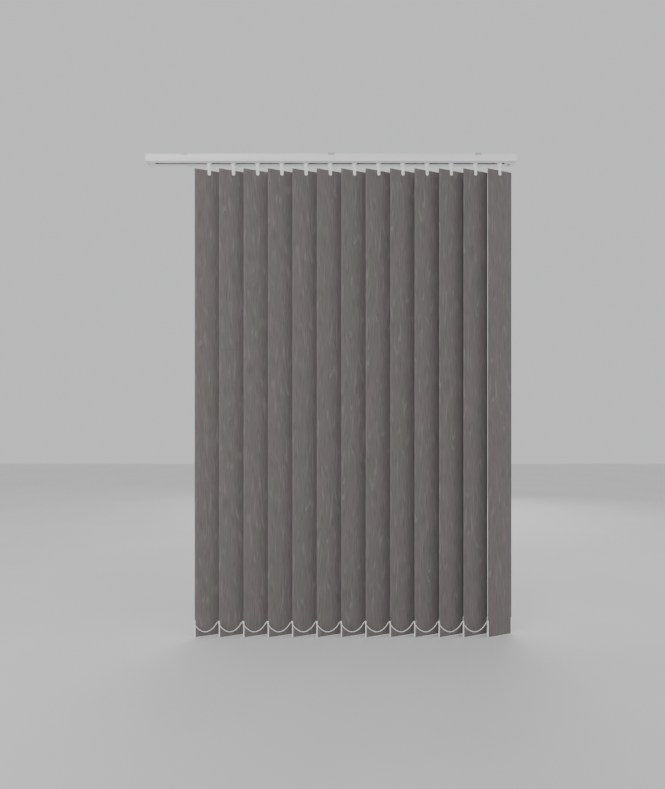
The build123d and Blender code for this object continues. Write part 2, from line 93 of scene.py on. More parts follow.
class Signal:
    """A shader socket that takes part in Python arithmetic: each operator adds one Math node."""

    def __init__(self, book: "NodeBook", socket: bpy.types.NodeSocket) -> None:
        """Keep the socket and the node book that it belongs to."""
        self.book = book
        self.socket = socket

    def __add__(self, other: "Signal | float") -> "Signal":
        """Sum of two signals, or of a signal and a number."""
        return self.book.maths("ADD", self, other)

    __radd__ = __add__

    def __sub__(self, other: "Signal | float") -> "Signal":
        """This signal less another."""
        return self.book.maths("SUBTRACT", self, other)

    def __rsub__(self, other: float) -> "Signal":
        """A number less this signal."""
        return self.book.maths("SUBTRACT", other, self)

    def __mul__(self, other: "Signal | float") -> "Signal":
        """Product of two signals, or of a signal and a number."""
        return self.book.maths("MULTIPLY", self, other)

    def __truediv__(self, other: "Signal | float") -> "Signal":
        """This signal over another."""
        return self.book.maths("DIVIDE", self, other)

    def sine(self) -> "Signal":
        """Sine of this signal, in radians."""
        return self.book.maths("SINE", self)

    def size(self) -> "Signal":
        """This signal without its sign."""
        return self.book.maths("ABSOLUTE", self)

    def ramp(self, start: float, end: float) -> "Signal":
        """0 before `start`, 1 past `end` and smooth between them.

        Args:
            start: the value where the ramp leaves 0.
            end: the value where the ramp reaches 1.

        Returns:
            The ramped signal.
        """
        made = self.book.node(
            "ShaderNodeMapRange",
            {"interpolation_type": "SMOOTHSTEP"},
            {"Value": self, "From Min": start, "From Max": end},
        )
        return Signal(self.book, made.outputs["Result"])


class NodeBook:
    """One material's node tree, and the few ways in which this script adds nodes to it."""

    def __init__(self, name: str) -> None:
        """Start a material with an output and a Principled shader."""
        self.material = bpy.data.materials.new(name)
        self.material.use_nodes = True
        self.tree = self.material.node_tree
        self.tree.nodes.clear()
        self.shader = self.node("ShaderNodeBsdfPrincipled", {}, {})
        output = self.node("ShaderNodeOutputMaterial", {}, {})
        self.tree.links.new(self.shader.outputs[0], output.inputs["Surface"])

    def node(self, kind: str, settings: dict[str, Any], inputs: dict[str | int, Any]) -> bpy.types.Node:
        """Add a node.

        Args:
            kind: the node's type.
            settings: its own settings.
            inputs: what its sockets get, each a Signal, a socket or a value.

        Returns:
            The new node.
        """
        made = self.tree.nodes.new(kind)
        for name, value in settings.items():
            setattr(made, name, value)
        for key, value in inputs.items():
            self.feed(made.inputs[key], value)
        return made

    def feed(self, socket: bpy.types.NodeSocket, value: Any) -> None:
        """Link a Signal or a socket to an input, or set the input to a value."""
        if isinstance(value, Signal):
            self.tree.links.new(value.socket, socket)
        elif isinstance(value, bpy.types.NodeSocket):
            self.tree.links.new(value, socket)
        elif isinstance(value, tuple) and socket.type == "RGBA":
            socket.default_value = (*value, 1.0)
        else:
            socket.default_value = value

    def maths(self, operation: str, *values: "Signal | float") -> Signal:
        """Add a Math node over one or two values."""
        made = self.node("ShaderNodeMath", {"operation": operation}, dict(enumerate(values)))
        return Signal(self, made.outputs[0])

    def place(self, uv_name: str | None = None) -> bpy.types.NodeSocket:
        """Where a point is: on the named UV map, or in the piece's own space without one."""
        if uv_name:
            return self.node("ShaderNodeUVMap", {"uv_map": uv_name}, {}).outputs["UV"]
        return self.node("ShaderNodeTexCoord", {}, {}).outputs["Object"]

    def stretched(self, place: bpy.types.NodeSocket, grain: Colour) -> bpy.types.NodeSocket:
        """Scale a place so that one unit is one grain of a pattern.

        Args:
            place: the vector to scale.
            grain: the grain's size along each axis, in metres.

        Returns:
            The scaled vector.
        """
        scale = tuple(1 / size for size in grain)
        return self.node("ShaderNodeMapping", {}, {"Vector": place, "Scale": scale}).outputs[0]

    def noise(self, place: bpy.types.NodeSocket, grain: Colour, detail: float) -> Signal:
        """Cloudy noise with one cloud per grain.

        Args:
            place: the vector that the noise is read at.
            grain: the size of a cloud along each axis, in metres.
            detail: how many finer layers lie on the first.

        Returns:
            A signal about 0.5.
        """
        inputs = {"Vector": self.stretched(place, grain), "Scale": 1.0, "Detail": detail}
        return Signal(self, self.node("ShaderNodeTexNoise", {}, inputs).outputs[0])

    def split(self, place: bpy.types.NodeSocket) -> tuple[Signal, Signal, Signal]:
        """The three numbers of a vector."""
        made = self.node("ShaderNodeSeparateXYZ", {}, {"Vector": place})
        return tuple(Signal(self, made.outputs[i]) for i in range(3))

    def mix(self, share: Signal, low: Any, high: Any) -> bpy.types.NodeSocket:
        """Mix two colours: `low` at a share of 0 and `high` at 1."""
        made = self.node("ShaderNodeMix", {"data_type": "RGBA"}, {0: share, 6: low, 7: high})
        return made.outputs[2]

    def bump(self, height: Signal, distance: float, strength: float) -> None:
        """Raise the surface by a height signal, at most `distance` metres."""
        inputs = {"Height": height, "Distance": distance, "Strength": strength}
        made = self.node("ShaderNodeBump", {}, inputs)
        self.feed(self.shader.inputs["Normal"], made.outputs[0])


# ---------------------------------------------------------------- finishes


@dataclass(frozen=True)
class VaneCloth:
    """Charcoal cloth: a plain weave with pale wavering strands, as in the grain of wood, down its length."""

    name: str = "vane_cloth"
    uv_name: str = "flat_cloth"
    warm: Colour = (0.159, 0.138, 0.136)
    cool: Colour = (0.148, 0.138, 0.132)
    strand: Colour = (0.224, 0.205, 0.200)
    shade: Colour = (0.095, 0.085, 0.083)
    patch: Colour = (0.055, 0.210, 1.0)
    figure: Colour = (0.020, 0.190, 1.0)
    figure_rings: float = 6.0
    cluster: Colour = (0.014, 0.085, 1.0)
    streak_grain: Colour = (0.0034, 0.050, 1.0)
    slub_grain: Colour = (0.0011, 0.030, 1.0)
    sway: float = 0.0035
    sway_grain: Colour = (0.024, 0.060, 1.0)
    yarn: float = 0.7 * MM
    weld_width: float = 1.2 * MM
    shade_share: float = 0.60
    strand_share: float = 0.58
    streak_share: float = 0.28
    weld_share: float = 0.22
    relief: float = 0.12 * MM

    def material(self, vane: "VaneSizes") -> bpy.types.Material:
        """Build the finish for cloth of one vane's sizes, because its welds lie at its seams."""
        book = NodeBook(self.name)
        place = book.place(self.uv_name)
        across, along, _ = book.split(place)
        sway = (book.noise(place, self.sway_grain, 1.0) - 0.5) * (2 * self.sway)
        swayed = book.node("ShaderNodeCombineXYZ", {}, {0: across + sway, 1: along}).outputs[0]
        streaks = book.noise(swayed, self.streak_grain, 2.0)
        rings = (book.noise(swayed, self.figure, 0.0) * (math.tau * self.figure_rings)).sine()
        strands = rings.ramp(0.30, 1.0) * book.noise(swayed, self.cluster, 1.0).ramp(0.46, 0.66)
        slubs = book.noise(swayed, self.slub_grain, 1.0)
        ground = book.mix(book.noise(place, self.patch, 0.0).ramp(0.38, 0.62), self.warm, self.cool)
        shaded = book.mix((1 - streaks).ramp(0.46, 0.80) * self.shade_share, ground, self.shade)
        pale = strands * self.strand_share + streaks.ramp(0.50, 0.80) * self.streak_share
        lit = book.mix(pale, shaded, self.strand)
        weld = self._weld(along, vane)
        book.feed(book.shader.inputs["Base Color"], book.mix(weld * self.weld_share, lit, self.shade))
        weave = (across * (math.tau / self.yarn)).sine() * (along * (math.tau / self.yarn)).sine()
        book.feed(book.shader.inputs["Roughness"], 0.80 + slubs * 0.12)
        book.bump(weave * 0.35 + slubs * 0.5 + strands * 0.3 - weld * 1.6, self.relief, 0.55)
        book.shader.inputs["Sheen Weight"].default_value = 0.12
        book.shader.inputs["Sheen Roughness"].default_value = 0.55
        book.shader.inputs["Specular IOR Level"].default_value = 0.25
        return book.material

    def _weld(self, along: Signal, vane: "VaneSizes") -> Signal:
        """1 on the two pressed weld lines that close the pockets, and 0 off them."""
        total = 0.0
        for seam in vane.seams_along():
            total = total + (1 - ((along - seam).size() / self.weld_width).ramp(0.4, 1.0))
        return total


@dataclass(frozen=True)
class MouldedPlastic:
    """White moulded plastic with a faint flow pattern and a fine moulded texture."""

    name: str
    colour: Colour = (0.80, 0.80, 0.795)
    tint: Colour = (0.74, 0.74, 0.725)
    roughness: float = 0.34
    flow: float = 0.012
    grain: float = 0.6 * MM
    relief: float = 0.04 * MM

    def material(self) -> bpy.types.Material:
        """Build the finish."""
        book = NodeBook(self.name)
        place = book.place()
        flow = book.noise(place, (self.flow,) * 3, 2.0)
        grain = book.noise(place, (self.grain,) * 3, 1.0)
        book.feed(book.shader.inputs["Base Color"], book.mix(flow.ramp(0.35, 0.75), self.colour, self.tint))
        book.feed(book.shader.inputs["Roughness"], self.roughness - 0.05 + flow * 0.10)
        book.bump(grain + flow * 0.6, self.relief, 0.5)
        book.shader.inputs["IOR"].default_value = 1.49
        return book.material


@dataclass(frozen=True)
class PowderCoat:
    """White powder coat: an even colour with the slight orange peel of baked powder."""

    name: str = "rail_coating"
    colour: Colour = (0.84, 0.84, 0.835)
    tint: Colour = (0.81, 0.81, 0.805)
    roughness: float = 0.36
    peel: float = 1.8 * MM
    cloud: float = 60 * MM
    relief: float = 0.06 * MM

    def material(self) -> bpy.types.Material:
        """Build the finish."""
        book = NodeBook(self.name)
        place = book.place()
        cloud = book.noise(place, (4 * self.cloud, self.cloud, self.cloud), 2.0)
        peel = book.noise(place, (self.peel,) * 3, 2.0)
        book.feed(book.shader.inputs["Base Color"], book.mix(cloud.ramp(0.35, 0.70), self.colour, self.tint))
        book.feed(book.shader.inputs["Roughness"], self.roughness + (peel - 0.5) * 0.12)
        book.bump(peel, self.relief, 0.45)
        return book.material


@dataclass(frozen=True)
class DrawnMetal:
    """Bare metal drawn along the rail: long fine scratches over a soft tarnish."""

    name: str
    colour: Colour
    tarnish: Colour
    roughness: float
    scratch: Colour = (0.020, 0.0004, 0.0004)
    cloud: float = 20 * MM
    relief: float = 0.03 * MM

    def material(self) -> bpy.types.Material:
        """Build the finish."""
        book = NodeBook(self.name)
        place = book.place()
        scratches = book.noise(place, self.scratch, 2.0)
        cloud = book.noise(place, (self.cloud,) * 3, 3.0)
        book.feed(book.shader.inputs["Base Color"], book.mix(cloud.ramp(0.4, 0.8), self.colour, self.tarnish))
        book.feed(book.shader.inputs["Roughness"], self.roughness + (scratches - 0.5) * 0.25)
        book.bump(scratches, self.relief, 0.4)
        book.shader.inputs["Metallic"].default_value = 1.0
        return book.material


@dataclass(frozen=True)
class StudioFloor:
    """Matt pale floor with a barely visible mottle."""

    colour: Colour = (0.77, 0.77, 0.765)
    tint: Colour = (0.74, 0.74, 0.735)

    def material(self) -> bpy.types.Material:
        """Build the finish."""
        book = NodeBook("studio_floor")
        cloud = book.noise(book.place(), (0.5,) * 3, 2.0)
        book.feed(book.shader.inputs["Base Color"], book.mix(cloud.ramp(0.3, 0.7), self.colour, self.tint))
        book.shader.inputs["Roughness"].default_value = 0.75
        return book.material


# ---------------------------------------------------------------- mesh helpers


def cut_block(
    mesh: bmesh.types.BMesh, low: Sequence[float], high: Sequence[float]
) -> list[bmesh.types.BMVert]:
    """Add a block between two corners.

    Args:
        mesh: the mesh that gets the block.
        low: its lowest corner.
        high: its highest corner.

    Returns:
        The block's vertices.
    """
    low, high = Vector(low), Vector(high)
    size = Matrix.Diagonal((*(high - low), 1.0))
    made = bmesh.ops.create_cube(mesh, size=1.0, matrix=Matrix.Translation((low + high) / 2) @ size)
    return made["verts"]


def lathe(mesh: bmesh.types.BMesh, profile: Sequence[tuple[float, float]], steps: int) -> None:
    """Turn a profile of (radius, height) points about the Z axis; its ends lie on the axis.

    Args:
        mesh: the mesh that gets the turned shape.
        profile: the points from bottom to top.
        steps: how many sides the shape has.
    """
    verts = [mesh.verts.new((radius, 0.0, height)) for radius, height in profile]
    edges = [mesh.edges.new(pair) for pair in zip(verts, verts[1:])]
    bmesh.ops.spin(
        mesh,
        geom=verts + edges,
        cent=(0, 0, 0),
        axis=(0, 0, 1),
        angle=math.tau,
        steps=steps,
        use_merge=True,
    )
    bmesh.ops.remove_doubles(mesh, verts=mesh.verts, dist=1e-7)


def round_edges(
    mesh: bmesh.types.BMesh, edges: Sequence[bmesh.types.BMEdge], width: float, segments: int
) -> None:
    """Bevel some edges with a round of the given width."""
    bmesh.ops.bevel(
        mesh,
        geom=list(edges),
        offset=width,
        offset_type="OFFSET",
        affect="EDGES",
        segments=segments,
        profile=0.5,
        material=-1,
        clamp_overlap=True,
    )


def finish_mesh(mesh: bmesh.types.BMesh, name: str, smooth_below: float = 40.0) -> bpy.types.Mesh:
    """Turn a bmesh into mesh data with outward faces, smooth except at sharp edges.

    Args:
        mesh: the mesh, which is freed.
        name: the name of the data.
        smooth_below: the largest angle, in degrees, across which the shading is smooth.

    Returns:
        The mesh data.
    """
    bmesh.ops.recalc_face_normals(mesh, faces=mesh.faces)
    data = bpy.data.meshes.new(name)
    mesh.to_mesh(data)
    mesh.free()
    data.polygons.foreach_set("use_smooth", [True] * len(data.polygons))
    data.set_sharp_from_angle(angle=math.radians(smooth_below))
    return data


def add_piece(data: bpy.types.Mesh, name: str, body: str, material: bpy.types.Material) -> bpy.types.Object:
    """Put mesh data into the scene as a piece that rides on a body."""
    piece = bpy.data.objects.new(name, data)
    bpy.context.scene.collection.objects.link(piece)
    data.materials.clear()
    data.materials.append(material)
    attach(piece, body)
    return piece


def add_bevel(piece: bpy.types.Object, width: float, segments: int = 2) -> None:
    """Round a piece's sharp edges with a modifier."""
    bevel = piece.modifiers.new("rounded_edges", "BEVEL")
    bevel.width = width
    bevel.segments = segments
    bevel.limit_method = "ANGLE"
    bevel.angle_limit = math.radians(40)
    bevel.use_clamp_overlap = True
    bevel.harden_normals = False


def body_of_node(node: str) -> str:
    """The name of the body that holds a CAD node."""
    bodies = frame["record"]["behaviour"]["bodies"]
    return next(body for body, nodes in bodies.items() if node in nodes)


def softened_node(
    node: str, name: str, width: float, material: bpy.types.Material
) -> bpy.types.Object:
    """Stand a rounded copy of a CAD node in its place.

    Args:
        node: the CAD node.
        name: the new piece's name.
        width: how far each sharp edge is rounded.
        material: the piece's finish.

    Returns:
        The new piece.
    """
    mesh = bmesh.new()
    mesh.from_mesh(frame["nodes"][node].data)
    bmesh.ops.remove_doubles(mesh, verts=mesh.verts, dist=1e-6)
    bmesh.ops.dissolve_limit(mesh, angle_limit=math.radians(0.5), verts=mesh.verts, edges=mesh.edges)
    piece = add_piece(finish_mesh(mesh, name), name, body_of_node(node), material)
    add_bevel(piece, width)
    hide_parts(node)
    return piece


def dress_node(node: str, material: bpy.types.Material) -> None:
    """Give a CAD node that stays in view a finish of its own."""
    shown = frame["nodes"][node]
    for slot in shown.material_slots:
        slot.material = material


# ---------------------------------------------------------------- vanes and their fittings


@dataclass(frozen=True)
class VaneSizes:
    """The sizes of one vane, which every fitting on it shares."""

    width: float = 89 * MM
    cloth: float = 0.3 * MM
    top_pocket: float = 18 * MM
    bottom_pocket: float = 58 * MM
    top_half: float = 0.60 * MM
    bottom_half: float = 0.70 * MM
    tilt: float = math.radians(22.0)
    top: float = field(default_factory=lambda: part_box("vane_01")[1].z)
    bottom: float = field(default_factory=lambda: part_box("vane_01")[0].z)

    def seams_along(self) -> tuple[float, float]:
        """How far along the flat strip, from its top end, the two welds lie."""
        body = self.top - self.bottom
        return 2 * self.top_pocket, self.top_pocket + body - self.bottom_pocket

    def flat_length(self) -> float:
        """Length of the strip before its ends are folded over."""
        return self.top - self.bottom + self.top_pocket + self.bottom_pocket

    def stand(self, number: int) -> Matrix:
        """Where vane `number` stands: about its hook's axis, at the rest tilt."""
        low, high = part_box(f"vane_{number:02d}")
        return Matrix.Translation(((low.x + high.x) / 2, 0, 0)) @ Matrix.Rotation(self.tilt, 4, "Z")


class Edge(Enum):
    """The two upright edges of a vane."""

    ROOM = -1
    WINDOW = 1


@dataclass
class Vane:
    """One strip of cloth, folded into a pocket at each end, on its hanger and weight."""

    sizes: VaneSizes
    finish: bpy.types.Material
    uv_name: str
    columns: int = 12
    top_rows: int = 5
    body_rows: int = 66
    bottom_rows: int = 9
    end_rows: int = 7
    fold_rows: int = 6
    settle: float = 120 * MM
    bow: float = 0.55 * MM
    bow_level: float = 0.4
    ripple: float = 0.22 * MM
    ripple_rate: float = 9.0
    ripple_bias: float = 0.3
    weld_run: float = 2.5 * MM
    rim_cut: float = 41.8 * MM
    rim_cut_top: float = 53.5 * MM
    roll_shift: float = 0.413

    def path(self) -> list[tuple[float, float, float]]:
        """The strip's side view from its top end to its bottom end.

        Returns:
            Points (length along the flat strip, distance in front of the hook's plane, height).
        """
        size = self.sizes
        front, back = -1.0, 1.0
        points: list[tuple[float, float]] = []
        seam = size.top - size.top_pocket
        points += self._straight(back * size.top_half, seam, size.top - size.top_half, self.top_rows)
        points += self._fold(size.top - size.top_half, size.top_half, back, 1.0)
        seam_start = seam + self.weld_run
        points += self._straight(front * size.top_half, size.top - size.top_half, seam_start, self.top_rows)
        low_seam = size.bottom + size.bottom_pocket
        points += self._straight(0.0, seam, low_seam, self.body_rows)
        fold = size.bottom + size.bottom_half
        seam_end = low_seam - self.weld_run
        points += self._straight(front * size.bottom_half, seam_end, fold, self.bottom_rows)
        points += self._fold(fold, size.bottom_half, front, -1.0)
        points += self._straight(back * size.bottom_half, fold, low_seam - size.cloth, self.end_rows)
        stations, along = [], 0.0
        for before, here in zip([points[0], *points], points):
            along += math.dist(before, here)
            stations.append((along, *here))
        return stations

    @staticmethod
    def _straight(depth: float, start: float, end: float, rows: int) -> list[tuple[float, float]]:
        """Evenly spaced points straight down or up at one depth."""
        return [(depth, start + (end - start) * i / rows) for i in range(rows + 1)]

    def _fold(self, centre: float, radius: float, side: float, up: float) -> list[tuple[float, float]]:
        """Points round a fold from one side to the other, over the top or under the bottom."""
        turns = [math.pi * i / self.fold_rows for i in range(1, self.fold_rows)]
        return [(side * radius * math.cos(turn), centre + up * radius * math.sin(turn)) for turn in turns]

    def make(self, number: int) -> bpy.types.Object:
        """Build vane `number` in its place.

        Args:
            number: the vane's number, counted from the left.

        Returns:
            The cloth piece.
        """
        size, stations = self.sizes, self.path()
        chance = random.Random(number)
        lean, phase = chance.uniform(-1, 1), chance.uniform(0, math.tau)
        mesh = bmesh.new()
        uv_layer = mesh.loops.layers.uv.new(self.uv_name)
        rows = len(stations) - 1
        bmesh.ops.create_grid(mesh, x_segments=self.columns, y_segments=rows, size=0.5)
        flat: dict[bmesh.types.BMVert, tuple[float, float]] = {}
        for vert in mesh.verts:
            across = vert.co.x * size.width
            along, depth, height = stations[round((vert.co.y + 0.5) * rows)]
            flat[vert] = (across + size.width / 2, along)
            vert.co = self._drape(across, depth, height, lean, phase)
        for face in mesh.faces:
            for loop in face.loops:
                across, along = flat[loop.vert]
                loop[uv_layer].uv = (across, along + self.roll_shift * number)
        mesh.transform(size.stand(number))
        data = finish_mesh(mesh, f"cloth_{number:02d}", smooth_below=75.0)
        piece = add_piece(data, f"cloth_{number:02d}", f"louvre_{number:02d}", self.finish)
        wall = piece.modifiers.new("cloth_thickness", "SOLIDIFY")
        wall.thickness = size.cloth
        wall.offset = 0.0
        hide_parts(f"vane_{number:02d}")
        return piece

    def _drape(self, across: float, depth: float, height: float, lean: float, phase: float) -> Vector:
        """Where a point of the strip hangs: flat in its pockets and a little bowed between them."""
        size = self.sizes
        from_top, from_bottom = size.top - height, height - size.bottom
        free = min(1.0, max(0.0, from_top - size.top_pocket) / self.settle)
        free *= min(1.0, max(0.0, from_bottom - size.bottom_pocket) / self.settle)
        curl = lean * self.bow * ((2 * across / size.width) ** 2 - self.bow_level)
        wave = math.sin(from_top * self.ripple_rate + phase) * (across / size.width + self.ripple_bias)
        if from_bottom < self.rim_cut_top:
            across *= self.rim_cut / (size.width / 2)
        return Vector((across, depth + free * (curl + self.ripple * wave), height))


@dataclass
class Hook:
    """The carrier's hook: pinion and stem inside the rail, then a collar and two legs over the vane."""

    sizes: VaneSizes
    teeth: int = 12
    tooth_tip: float = 6.15 * MM
    tooth_root: float = 4.45 * MM
    tooth_corners: tuple[float, ...] = (-0.29, -0.105, 0.105, 0.29)
    pinion_face: float = 2.4 * MM
    pinion_middle: float = -13.2 * MM
    stem: float = 4.0 * MM
    stud: float = 2.0 * MM
    stud_point: float = 0.8 * MM
    stud_taper: float = 0.6
    collar: float = 6.5 * MM
    collar_top: float = -26.0 * MM
    collar_height: float = 7.0 * MM
    shoulder: float = 0.9 * MM
    waist_inset: float = 1.1 * MM
    waist_round: float = 0.6 * MM
    flare_height: float = 2.0 * MM
    neck_draft: float = 0.86
    neck_sink: float = 0.5 * MM
    slot_gap: float = 0.3 * MM
    sink: float = 0.2 * MM
    width: float = 10.0 * MM
    leg_inner: float = 0.85 * MM
    leg_outer: float = 1.85 * MM
    leg_reach: float = 16.0 * MM
    foot_share: float = 0.97
    foot_segments: int = 8
    barb: float = 1.8 * MM
    barb_taper: float = 0.7
    barb_drop: float = 9.0 * MM
    barb_sides: int = 16
    sides: int = 32
    softness: float = 0.22 * MM

    def template(self) -> bpy.types.Mesh:
        """Build the hook about its own axis, facing the room.

        Returns:
            Mesh data that every hook copies.
        """
        mesh = bmesh.new()
        pinion_bottom = self.pinion_middle - self.pinion_face / 2
        pinion_top = pinion_bottom + self.pinion_face
        collar_bottom = self.collar_top - self.collar_height
        waist = self.collar - self.waist_inset
        stud_top = pinion_top + self.pinion_face
        lathe(
            mesh,
            [
                (0.0, collar_bottom),
                (waist - self.waist_round, collar_bottom),
                (waist, collar_bottom + self.waist_round),
                (self.collar, collar_bottom + self.flare_height),
                (self.collar, self.collar_top - self.shoulder),
                (self.collar - self.shoulder, self.collar_top),
                (self.stem, self.collar_top),
                (self.stem, pinion_bottom),
                (self.stud, pinion_top - self.sink),
                (self.stud, stud_top),
                (self.stud * self.stud_taper, stud_top + self.stud_point),
                (0.0, stud_top + self.stud_point),
            ],
            self.sides,
        )
        self._add_pinion(mesh, pinion_bottom)
        slot_top = self.sizes.top + self.slot_gap
        half = self.width / 2
        low = (-half, -self.leg_outer, slot_top - self.sink)
        neck = cut_block(mesh, low, (half, self.leg_outer, collar_bottom + self.neck_sink))
        self._taper(neck, collar_bottom)
        for side in (Edge.ROOM, Edge.WINDOW):
            self._add_leg(mesh, side, slot_top)
        barb_place = Matrix.Translation((0, self.leg_inner / 2, self.sizes.top - self.barb_drop))
        bmesh.ops.create_cone(
            mesh,
            cap_ends=True,
            segments=self.barb_sides,
            radius1=self.barb,
            radius2=self.barb * self.barb_taper,
            depth=self.leg_inner + self.sink,
            matrix=barb_place @ Matrix.Rotation(math.radians(90), 4, "X"),
        )
        return finish_mesh(mesh, "hook")

    def _taper(self, neck: Sequence[bmesh.types.BMVert], collar_bottom: float) -> None:
        """Draw the neck in a little towards the collar, as a moulding is drafted."""
        for vert in neck:
            if vert.co.z > collar_bottom:
                vert.co.x *= self.neck_draft

    def _add_leg(self, mesh: bmesh.types.BMesh, side: Edge, slot_top: float) -> None:
        """Add one flat leg with a round foot."""
        inner, outer = sorted((side.value * self.leg_inner, side.value * self.leg_outer))
        half, bottom = self.width / 2, self.sizes.top - self.leg_reach
        verts = cut_block(mesh, (-half, inner, bottom), (half, outer, slot_top + self.sink))
        foot = [
            edge
            for edge in {edge for vert in verts for edge in vert.link_edges}
            if all(abs(vert.co.z - bottom) < 1e-6 for vert in edge.verts)
            and abs(edge.verts[0].co.x - edge.verts[1].co.x) < 1e-6
        ]
        round_edges(mesh, foot, half * self.foot_share, self.foot_segments)

    def _add_pinion(self, mesh: bmesh.types.BMesh, bottom: float) -> None:
        """Add the toothed wheel: a disc whose rim steps in between teeth, pushed up to its thickness."""
        steps = 4 * self.teeth
        made = bmesh.ops.create_circle(mesh, cap_ends=True, segments=steps, radius=self.tooth_tip)
        rim = made["verts"]
        start = math.pi / 2 - self.sizes.tilt
        for i, vert in enumerate(rim):
            tooth, corner = divmod(i, 4)
            angle = start + (tooth + self.tooth_corners[corner]) * math.tau / self.teeth
            radius = self.tooth_tip if corner in (1, 2) else self.tooth_root
            vert.co = (radius * math.cos(angle), radius * math.sin(angle), bottom)
        face = next(face for face in rim[0].link_faces if len(face.verts) == steps)
        raised = bmesh.ops.extrude_face_region(mesh, geom=[face], use_keep_orig=True)
        top = [item for item in raised["geom"] if isinstance(item, bmesh.types.BMVert)]
        bmesh.ops.translate(mesh, verts=top, vec=(0, 0, self.pinion_face))


@dataclass
class Hanger:
    """The stiff plate in the top pocket, which the hook's barb catches in."""

    sizes: VaneSizes
    half_thickness: float = 0.4 * MM
    height: float = 14 * MM
    inset: float = 2.5 * MM
    gap: float = 0.15 * MM
    hole: float = 2.4 * MM
    hole_drop: float = 9.0 * MM
    hole_sides: int = 16
    softness: float = 0.15 * MM

    def template(self) -> bpy.types.Mesh:
        """Build the plate about the hook's axis, with a hole through it.

        Returns:
            Mesh data that every hanger copies.
        """
        mesh = bmesh.new()
        half = self.sizes.width / 2 - self.inset
        top = self.sizes.top - self.sizes.cloth - self.gap
        bottom = top - self.height
        centre = Vector((0, -self.half_thickness, self.sizes.top - self.hole_drop))
        turn = Matrix.Translation(centre) @ Matrix.Rotation(math.radians(90), 4, "X")
        made = bmesh.ops.create_circle(mesh, segments=self.hole_sides, radius=self.hole, matrix=turn)
        corners = [(-half, bottom), (half, bottom), (half, top), (-half, top)]
        outer = [mesh.verts.new((x, -self.half_thickness, z)) for x, z in corners]
        edges = [mesh.edges.new((a, b)) for a, b in zip(outer, outer[1:] + outer[:1])]
        inner = list({edge for vert in made["verts"] for edge in vert.link_edges})
        bmesh.ops.triangle_fill(mesh, edges=edges + inner, use_beauty=True)
        raised = bmesh.ops.extrude_face_region(mesh, geom=list(mesh.faces), use_keep_orig=True)
        back = [item for item in raised["geom"] if isinstance(item, bmesh.types.BMVert)]
        bmesh.ops.translate(mesh, verts=back, vec=(0, 2 * self.half_thickness, 0))
        return finish_mesh(mesh, "hanger")


@dataclass
class Weight:
    """The plate in the bottom pocket, with a rounded rim down each end and a chain clip on each rim."""

    sizes: VaneSizes
    half_thickness: float = 0.5 * MM
    height: float = 46.0 * MM
    plate_rise: float = 0.35 * MM
    plate_sink: float = 0.2 * MM
    rim_inside: float = 42.1 * MM
    rim_outside: float = 45.3 * MM
    rim_half: float = 1.0 * MM
    rim_height: float = 49.0 * MM
    rim_round: float = 0.55 * MM
    clip_root: float = 2.2 * MM
    clip_reach: float = 3.0 * MM
    clip_half: float = 1.2 * MM
    clip_bottom: float = 47.0 * MM
    clip_top: float = 50.0 * MM
    clip_slope: float = 0.7 * MM
    cup: float = 1.0 * MM
    cup_rise: float = 0.8 * MM
    cup_inset: float = 0.4 * MM
    cup_offset: float = 0.9 * MM
    cup_spread: float = 0.5 * MM
    softness: float = 0.35 * MM

    def template(self) -> bpy.types.Mesh:
        """Build the weight about the hook's axis.

        Returns:
            Mesh data that every weight copies.
        """
        mesh = bmesh.new()
        base = self.sizes.bottom
        inner = self.rim_inside + self.plate_sink
        cut_block(
            mesh,
            (-inner, -self.half_thickness, base + self.plate_rise),
            (inner, self.half_thickness, base + self.height),
        )
        for edge in (Edge.ROOM, Edge.WINDOW):
            self._add_rim(mesh, edge)
            self._add_clip(mesh, edge)
        return finish_mesh(mesh, "weight")

    def _add_rim(self, mesh: bmesh.types.BMesh, edge: Edge) -> None:
        """Add one rim: an upright bar with rounded ends."""
        base = self.sizes.bottom
        inner, outer = sorted((edge.value * self.rim_inside, edge.value * self.rim_outside))
        verts = cut_block(
            mesh, (inner, -self.rim_half, base), (outer, self.rim_half, base + self.rim_height)
        )
        upright = [
            line
            for line in {line for vert in verts for line in vert.link_edges}
            if abs(line.verts[0].co.z - line.verts[1].co.z) > self.rim_height / 2
        ]
        round_edges(mesh, upright, self.rim_round, 3)

    def _add_clip(self, mesh: bmesh.types.BMesh, edge: Edge) -> None:
        """Add one clip: a short arm from the rim's top end to the cups that hold the chain's end beads."""
        base, side = self.sizes.bottom, edge.value
        reach = self.rim_outside + self.clip_reach
        inner, outer = sorted((side * (self.rim_outside - self.clip_root), side * reach))
        verts = cut_block(
            mesh,
            (inner, -self.clip_half, base + self.clip_bottom),
            (outer, self.clip_half, base + self.clip_top),
        )
        middle = base + (self.clip_bottom + self.clip_top) / 2
        for vert in verts:
            if abs(vert.co.x) > self.rim_outside and vert.co.z > middle:
                vert.co.z -= self.clip_slope
        towards_room = Matrix.Rotation(-self.sizes.tilt, 4, "Z") @ Vector((0, self.cup_offset * side, 0))
        height = base + self.clip_bottom + self.cup_rise
        centre = Vector((side * (reach - self.cup_inset), 0, height)) + towards_room
        for shift in (-1, 1):
            along_row = Matrix.Rotation(-self.sizes.tilt, 4, "Z") @ Vector((self.cup_spread * shift, 0, 0))
            bmesh.ops.create_uvsphere(
                mesh,
                u_segments=14,
                v_segments=9,
                radius=self.cup,
                matrix=Matrix.Translation(centre + along_row),
            )


# ---------------------------------------------------------------- bead chain


